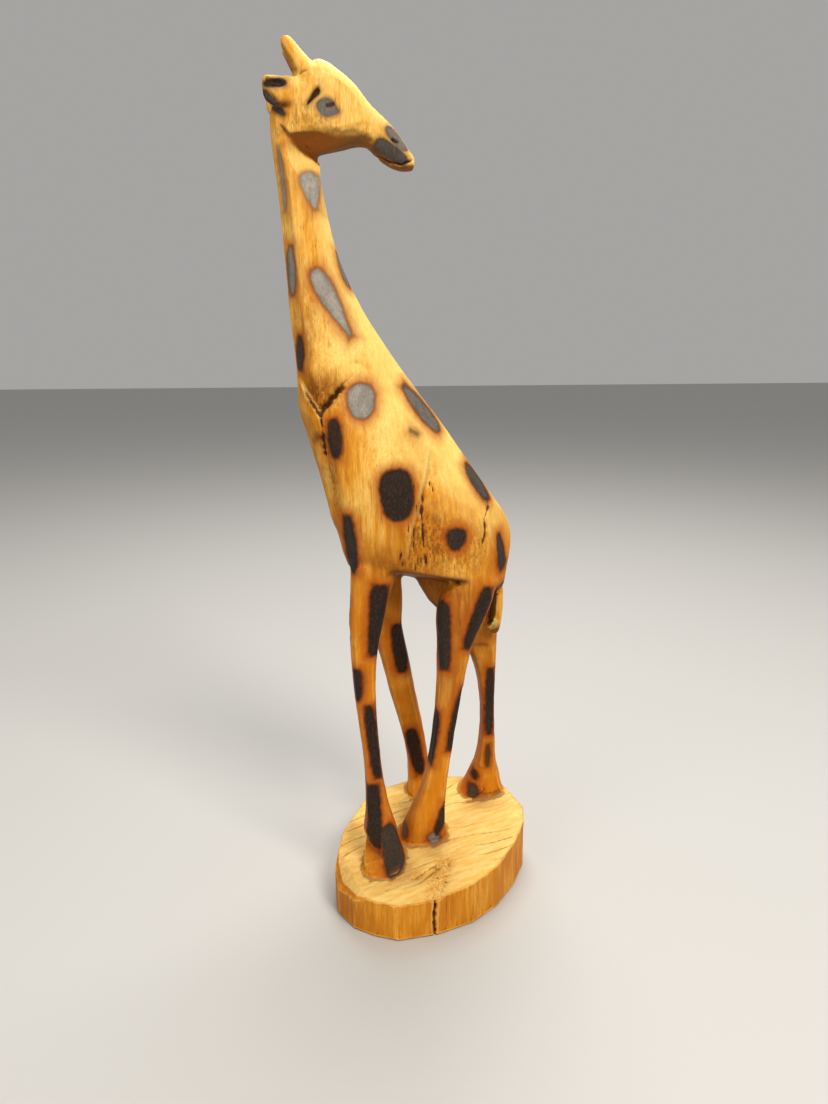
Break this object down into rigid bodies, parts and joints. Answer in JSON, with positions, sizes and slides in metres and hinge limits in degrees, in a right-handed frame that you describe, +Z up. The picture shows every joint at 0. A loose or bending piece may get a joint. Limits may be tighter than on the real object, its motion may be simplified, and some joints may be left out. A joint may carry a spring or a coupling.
{
  "type": "carved giraffe statue",
  "caption": "Walking giraffe hand carved from pale wood with burned spots, its head turned back over the rump, on an irregular oval wooden slab.",
  "frame": {"origin": "on the underside of the slab, below the middle of the giraffe's body", "axes": "+X the way the giraffe walks (the head looks back along -X), +Y its left side, +Z up"},
  "size_m": [0.1145, 0.091, 0.3668],
  "materials": {
    "slab_wood": "satin",
    "body_wood": "satin",
    "leg_wood": "satin"
  },
  "bodies": {
    "root": {"slab": "slab_wood", "leg_front_left": "leg_wood", "leg_front_right": "leg_wood", "leg_rear_left": "leg_wood", "leg_rear_right": "leg_wood", "torso": "body_wood", "tail": "leg_wood", "neck": "body_wood", "head": "body_wood", "ear_left": "body_wood", "ear_right": "body_wood", "horn_left": "body_wood", "horn_right": "body_wood"}
  },
  "joints": []
}
